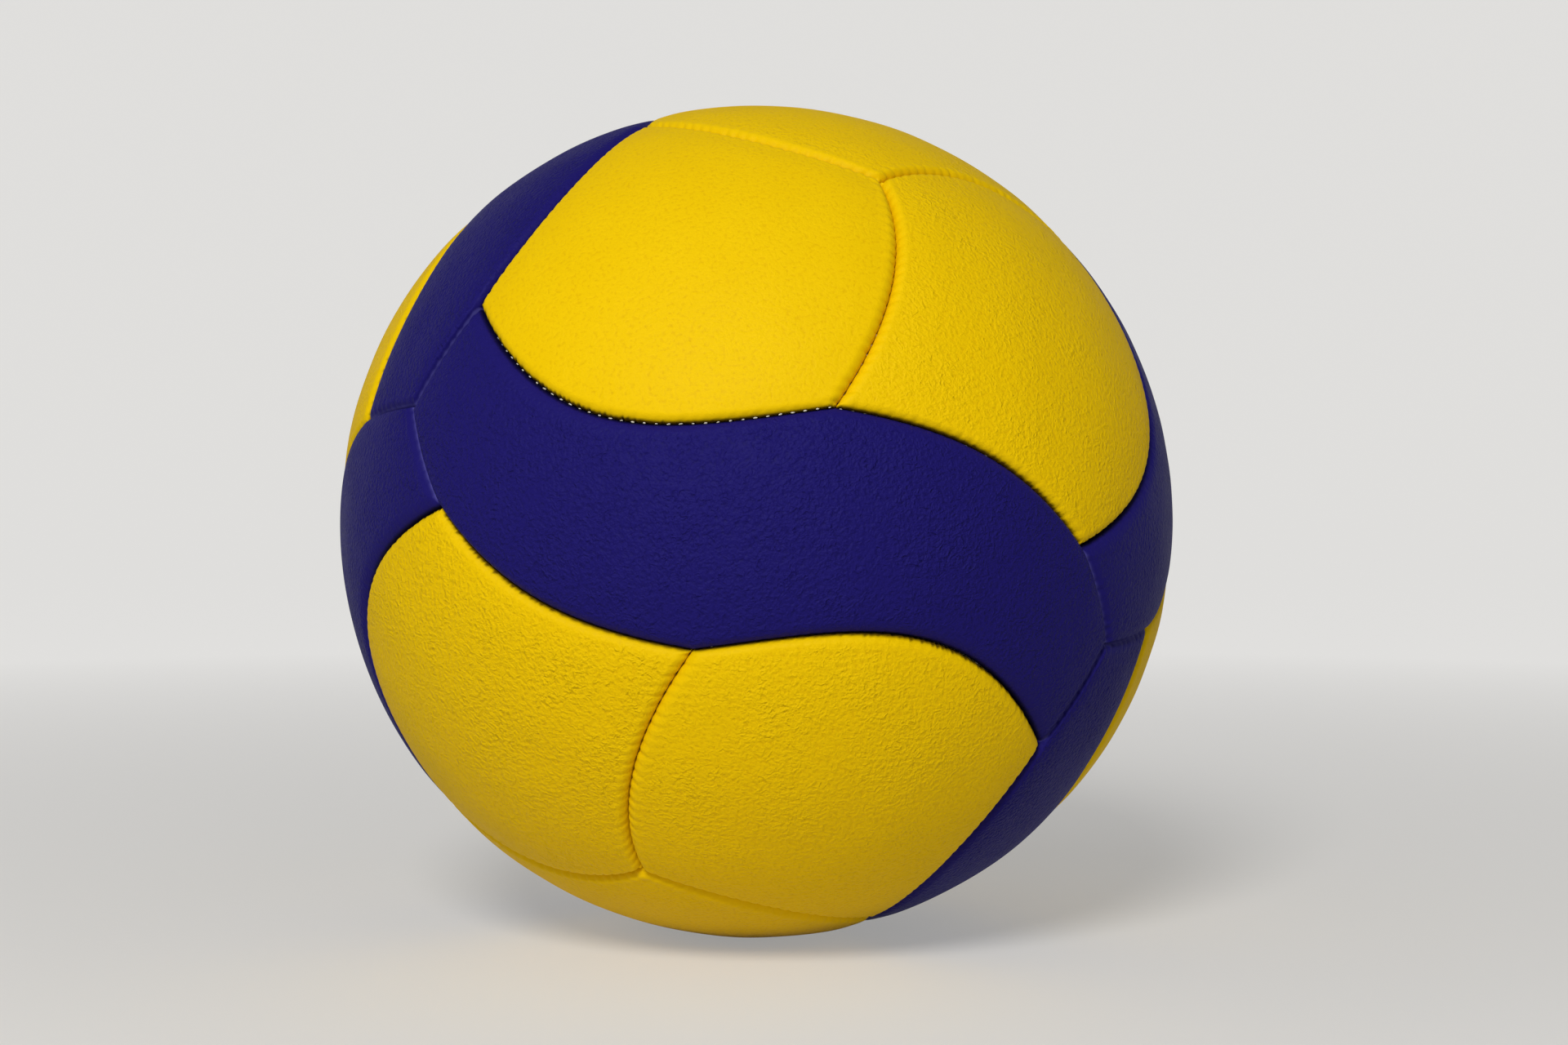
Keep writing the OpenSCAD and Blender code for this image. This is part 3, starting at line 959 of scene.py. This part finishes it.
def stemProfile():
    v = valve
    flangeAngle = math.degrees(math.asin(v["flangeRadius"] / v["flangeTop"]))
    stemAngle = math.degrees(math.asin(v["radius"] / v["flangeTop"]))
    low = v["flangeTop"] - v["flangeThickness"]
    lowStem = math.degrees(math.asin(v["radius"] / low))
    lowEdge = math.degrees(math.asin(v["flangeRadius"] / low))
    filletCentre = (v["radius"] - v["fillet"], v["face"] - v["fillet"])
    fillet = arc(v["fillet"], 0, 90, steps=6, centre=filletCentre)
    return (
        [(v["collarBore"], v["face"] - v["lip"]), (v["collarBore"] + v["lip"], v["face"])]
        + fillet
        + arc(v["flangeTop"], stemAngle, flangeAngle, steps=10)
        + arc(low, lowEdge, lowStem, steps=10)
        + [(v["radius"], v["end"] + v["tip"]), (v["radius"] - v["tip"], v["end"])]
        + [(v["bore"], v["end"]), (v["bore"], v["face"] - v["collarDepth"])]
        + [(v["collarBore"], v["face"] - v["collarDepth"])]
    )


def coreProfile():
    c, face = core, valve["face"]
    return [
        (0, face - c["needleDepth"]), (c["needle"], face - c["needleDepth"]),
        (c["needle"], face - c["funnel"]), (c["needle"] + c["funnel"] * c["funnelSlope"], face),
        (c["collar"] - c["chamfer"], face), (c["collar"], face - c["chamfer"]),
        (c["collar"], face - c["collarThickness"]), (c["radius"], face - c["collarThickness"]),
        (c["radius"], valve["end"] + c["chamfer"]), (c["radius"] - c["chamfer"], valve["end"]),
        (0, valve["end"]),
    ]


stem = spun("valve_stem_rubber", stemProfile(), valveRubber)
plug = spun("valve_core_rubber", coreProfile(), coreRubber, closed=False)

for piece, node, slotName in (
    (frontCup, "cloth_cup_front", "cloth"), (backCup, "cloth_cup_back", "cloth"),
    (bladder, "bladder", "bladder_rubber"), (stem, "valve_stem", "valve_rubber"),
    (plug, "valve_core", "valve_rubber"),
):
    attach(piece, root)
    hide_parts(node)
print("inner parts made")

# the floor and the light
studio = {
    "floorReach": 2.6, "rimRadius": 0.9, "rimHeight": 1.1,
    "floorColour": (232, 230, 226), "floorRoughness": 0.9,
    "paleness": (0.36, 0.80),  # how much the camera sees as plain pale by the ball, and far off
    "paleFrom": 0.2, "paleTo": 1.1,
    "paleColour": (240, 239, 237),
    "keyPlace": (-0.32, -1.34, 0.90), "keySize": 0.5, "keyPower": 19,
    "worldLight": 0.2,
}
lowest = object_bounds()[0]


def studioFloor():
    s = studio
    bm = bmesh.new()
    bend = arc(s["rimRadius"], 180, 90, steps=16, centre=(s["floorReach"], s["rimRadius"]))
    profile = [(0.0, 0.0), (s["floorReach"] / 2, 0.0)] + bend
    profile += [(s["floorReach"] + s["rimRadius"], s["rimRadius"] + s["rimHeight"])]
    line = [bm.verts.new((r, 0, lowest.z + h)) for r, h in profile]
    edges = [bm.edges.new(pair) for pair in zip(line, line[1:])]
    bmesh.ops.spin(
        bm, geom=line + edges, cent=(0, 0, 0), axis=(0, 0, 1), angle=2 * math.pi, steps=96,
        use_merge=True,
    )
    bmesh.ops.remove_doubles(bm, verts=bm.verts, dist=0.0001)
    bmesh.ops.recalc_face_normals(bm, faces=bm.faces)
    bmesh.ops.reverse_faces(bm, faces=bm.faces)
    finish = Finish("floor", Roughness=s["floorRoughness"], Base_Color=colour(*s["floorColour"]))
    camera, glossy, through = (
        finish.node("ShaderNodeLightPath", output=f"Is {kind} Ray")
        for kind in ("Camera", "Glossy", "Transmission")
    )
    seen = camera + glossy + through
    place = finish.place()
    off = finish.node("ShaderNodeVectorMath", {"operation": "LENGTH"}, {0: place}, "Value")
    near, far = s["paleness"]
    share = near + (far - near) * ((off - s["paleFrom"]) / (s["paleTo"] - s["paleFrom"])).clipped()
    pale = finish.node("ShaderNodeEmission", None, {"Color": colour(*s["paleColour"]), "Strength": 1.0})
    lit = Signal(finish, finish.shader.outputs["BSDF"])
    shown = finish.node("ShaderNodeMixShader", None, {0: seen.clipped() * share, 1: lit, 2: pale})
    finish.feed(finish.tree.nodes["Material Output"].inputs["Surface"], shown)
    mesh = bpy.data.meshes.new("studio_floor")
    bm.to_mesh(mesh)
    bm.free()
    mesh.shade_smooth()
    mesh.materials.append(finish.material)
    floor = bpy.data.objects.new("studio_floor", mesh)
    bpy.context.scene.collection.objects.link(floor)


def softLight(name, place, size, power):
    lamp = bpy.data.lights.new(name, "AREA")
    lamp.shape, lamp.size, lamp.energy = "DISK", size, power
    light = bpy.data.objects.new(name, lamp)
    light.location = place
    light.rotation_mode = "QUATERNION"
    light.rotation_quaternion = (-Vector(place)).to_track_quat("-Z", "Y")
    bpy.context.scene.collection.objects.link(light)


shot = {
    "place": (-0.0104, -0.6545, 0.0103),
    "focalPixels": 3139,  # of a picture 1920 pixels wide
    "width": 1920,
    "sensor": 36,
    "clip": (0.01, 100),
    "offCentre": (33.1, 1.3),  # how far left of the middle and above it the ball's centre lies
}


def photographCamera():
    place = Vector(shot["place"])
    ahead = -place
    right = ahead.cross(Vector((0, 0, 1))).normalized()
    above = right.cross(ahead).normalized()
    left, up = (pixels / shot["focalPixels"] * ahead.length for pixels in shot["offCentre"])
    aim = ahead + right * left - above * up
    data = bpy.data.cameras.new("camera")
    data.sensor_width = shot["sensor"]
    data.lens = shot["focalPixels"] * shot["sensor"] / shot["width"]
    data.clip_start, data.clip_end = shot["clip"]
    camera = bpy.data.objects.new("camera", data)
    camera.location = place
    camera.rotation_mode = "QUATERNION"
    camera.rotation_quaternion = aim.to_track_quat("-Z", "Y")
    bpy.context.scene.collection.objects.link(camera)
    bpy.context.scene.camera = camera


def studioWorld():
    # plain light from all round
    world = bpy.data.worlds.new("studio")
    world.use_nodes = True
    background = world.node_tree.nodes["Background"]
    background.inputs["Color"].default_value = (1, 1, 1, 1)
    background.inputs["Strength"].default_value = studio["worldLight"]
    bpy.context.scene.world = world


studioFloor()
softLight("key_light", studio["keyPlace"], studio["keySize"], studio["keyPower"])
photographCamera()
studioWorld()
bpy.context.scene.view_settings.view_transform = "Standard"
print("studio made")
